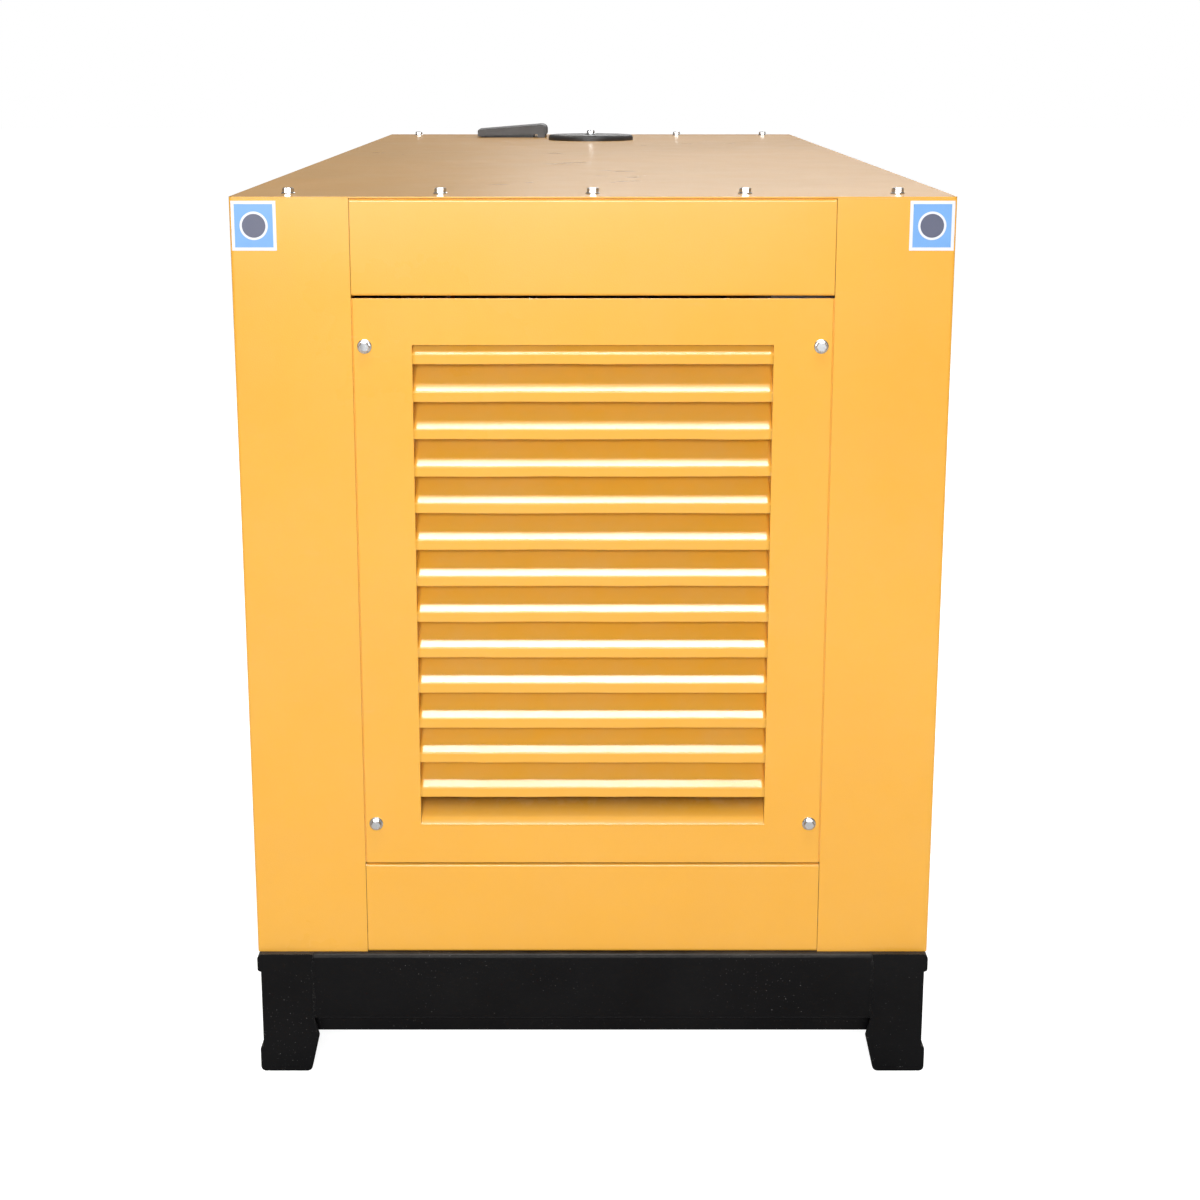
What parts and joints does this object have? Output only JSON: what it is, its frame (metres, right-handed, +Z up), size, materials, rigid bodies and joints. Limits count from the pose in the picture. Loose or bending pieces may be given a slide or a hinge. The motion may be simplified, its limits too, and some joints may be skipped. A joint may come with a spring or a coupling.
{
  "type": "diesel generator",
  "caption": "Skid-mounted silenced diesel generator: louvred steel canopy with hinged side doors on a base with fork pockets, engine, alternator, radiator and exhaust inside.",
  "frame": {"origin": "on the ground at the middle of the skid base", "axes": "+Z up, +Y along the base towards the radiator end, +X across, towards the control side"},
  "size_m": [0.923, 2.32, 1.197],
  "materials": {
    "canopy_paint": "orange-peel powder coat, golden yellow",
    "base_paint": "satin black paint",
    "tank_paint": "satin black paint",
    "black_plastic": "matt black",
    "zinc": "zinc plated",
    "black_steel": "black coated steel",
    "foam": "acoustic foam",
    "glass": "clear pane",
    "engine_paint": "dark grey enamel",
    "head_paint": "cast aluminium",
    "generator_paint": "grey enamel",
    "copper_steel": "lacquered windings",
    "steel": "machined steel",
    "belt_rubber": "rubber",
    "fan_plastic": "moulded black nylon",
    "radiator_metal": "black radiator enamel",
    "exhaust_steel": "heat-tinted steel",
    "filter_paint": "black paint",
    "control_paint": "light grey powder coat",
    "key_metal": "plated",
    "red_plastic": "red moulding"
  },
  "bodies": {
    "frame": {"air_cleaner": "filter_paint", "base_rail_left": "base_paint", "base_rail_right": "base_paint", "battery": "black_plastic", "canopy_bolts": "zinc", "centre_posts": "canopy_paint", "circuit_breaker": "black_plastic", "control_box": "control_paint", "controller": "black_plastic", "corner_post_front_left": "canopy_paint", "corner_post_front_right": "canopy_paint", "corner_post_rear_left": "canopy_paint", "corner_post_rear_right": "canopy_paint", "cylinder_head": "head_paint", "end_crossmembers": "base_paint", "end_headers": "canopy_paint", "end_sills": "canopy_paint", "engine_block": "engine_paint", "exhaust_outlet": "black_steel", "exhaust_system": "exhaust_steel", "fan_belt": "belt_rubber", "fan_shroud": "black_steel", "flywheel_housing": "engine_paint", "fork_pockets": "base_paint", "front_louvre_panel": "canopy_paint", "fuel_tank": "tank_paint", "generator_housing": "generator_paint", "hinge_pins": "black_steel", "inner_crossmembers": "base_paint", "oil_sump": "engine_paint", "radiator": "radiator_metal", "rear_louvre_panel": "canopy_paint", "roof_panel": "canopy_paint", "side_sills": "canopy_paint", "side_top_rails": "canopy_paint", "vibration_mounts": "belt_rubber"},
    "radiator_cover": {"radiator_cover": "black_plastic"},
    "rain_cap": {"exhaust_rain_cap": "black_steel"},
    "fuel_cap": {"fuel_cap": "black_plastic"},
    "crank_line": {"crankshaft": "steel", "flywheel": "steel", "generator_rotor": "copper_steel", "crank_pulley": "steel"},
    "fan": {"cooling_fan": "fan_plastic"},
    "breaker_toggle": {"breaker_toggle": "black_plastic"},
    "key_switch": {"key_switch": "key_metal"},
    "stop_button": {"stop_button": "red_plastic"},
    "door_rear_right": {"door_rear_right": "canopy_paint", "door_liner_rear_right": "foam", "door_window": "glass"},
    "latch_rear_right": {"door_latch_rear_right": "black_steel"},
    "door_rear_left": {"door_rear_left": "canopy_paint", "door_liner_rear_left": "foam"},
    "latch_rear_left": {"door_latch_rear_left": "black_steel"},
    "door_front_right": {"door_front_right": "canopy_paint", "door_liner_front_right": "foam"},
    "latch_front_right": {"door_latch_front_right": "black_steel"},
    "door_front_left": {"door_front_left": "canopy_paint", "door_liner_front_left": "foam"},
    "latch_front_left": {"door_latch_front_left": "black_steel"}
  },
  "joints": [
    {"name": "door_rear_right_hinge", "type": "hinge", "parent": "frame", "child": "door_rear_right", "pos_m": [0.456, -1.0485, 0.67], "axis": [0, 0, -1], "range_deg": [0, 110]},
    {"name": "latch_rear_right_turn", "type": "hinge", "parent": "door_rear_right", "child": "latch_rear_right", "pos_m": [0.45, -0.078, 0.67], "axis": [1, 0, 0], "range_deg": [0, 90]},
    {"name": "door_rear_left_hinge", "type": "hinge", "parent": "frame", "child": "door_rear_left", "pos_m": [-0.456, -1.0485, 0.67], "axis": [0, 0, 1], "range_deg": [0, 110]},
    {"name": "latch_rear_left_turn", "type": "hinge", "parent": "door_rear_left", "child": "latch_rear_left", "pos_m": [-0.45, -0.078, 0.67], "axis": [1, 0, 0], "range_deg": [0, 90]},
    {"name": "door_front_right_hinge", "type": "hinge", "parent": "frame", "child": "door_front_right", "pos_m": [0.456, 1.0485, 0.67], "axis": [0, 0, 1], "range_deg": [0, 110]},
    {"name": "latch_front_right_turn", "type": "hinge", "parent": "door_front_right", "child": "latch_front_right", "pos_m": [0.45, 0.078, 0.67], "axis": [-1, 0, 0], "range_deg": [0, 90]},
    {"name": "door_front_left_hinge", "type": "hinge", "parent": "frame", "child": "door_front_left", "pos_m": [-0.456, 1.0485, 0.67], "axis": [0, 0, -1], "range_deg": [0, 110]},
    {"name": "latch_front_left_turn", "type": "hinge", "parent": "door_front_left", "child": "latch_front_left", "pos_m": [-0.45, 0.078, 0.67], "axis": [-1, 0, 0], "range_deg": [0, 90]},
    {"name": "radiator_cover_lift", "type": "slide", "parent": "frame", "child": "radiator_cover", "axis": [0, 0, 1], "range_m": [0, 0.06]},
    {"name": "rain_cap_hinge", "type": "hinge", "parent": "frame", "child": "rain_cap", "pos_m": [-0.107, 1, 1.186], "axis": [0, 1, 0], "range_deg": [0, 75]},
    {"name": "fuel_cap_turn", "type": "hinge", "parent": "frame", "child": "fuel_cap", "pos_m": [-0.2845, 0, 0.332], "axis": [0, 0, 1], "range_deg": [0, 90]},
    {"name": "crank_spin", "type": "hinge", "parent": "frame", "child": "crank_line", "pos_m": [0, 0, 0.48], "axis": [0, 1, 0], "continuous": true},
    {"name": "fan_spin", "type": "hinge", "parent": "frame", "child": "fan", "pos_m": [0, 0.665, 0.64], "axis": [0, 1, 0], "continuous": true},
    {"name": "breaker_lever", "type": "hinge", "parent": "frame", "child": "breaker_toggle", "pos_m": [0.4005, -0.86, 0.78], "axis": [0, 1, 0], "range_deg": [-22, 22]},
    {"name": "key_turn", "type": "hinge", "parent": "frame", "child": "key_switch", "pos_m": [0.392, -0.93, 0.8], "axis": [-1, 0, 0], "range_deg": [0, 90]},
    {"name": "stop_button_press", "type": "slide", "parent": "frame", "child": "stop_button", "axis": [-1, 0, 0], "range_m": [0, 0.006], "stiffness_N_per_m": 400, "springref_m": -0.003}
  ],
  "couplings": [
    {"joint": "fan_spin", "follows": "crank_spin", "ratio": 1.3793}
  ]
}
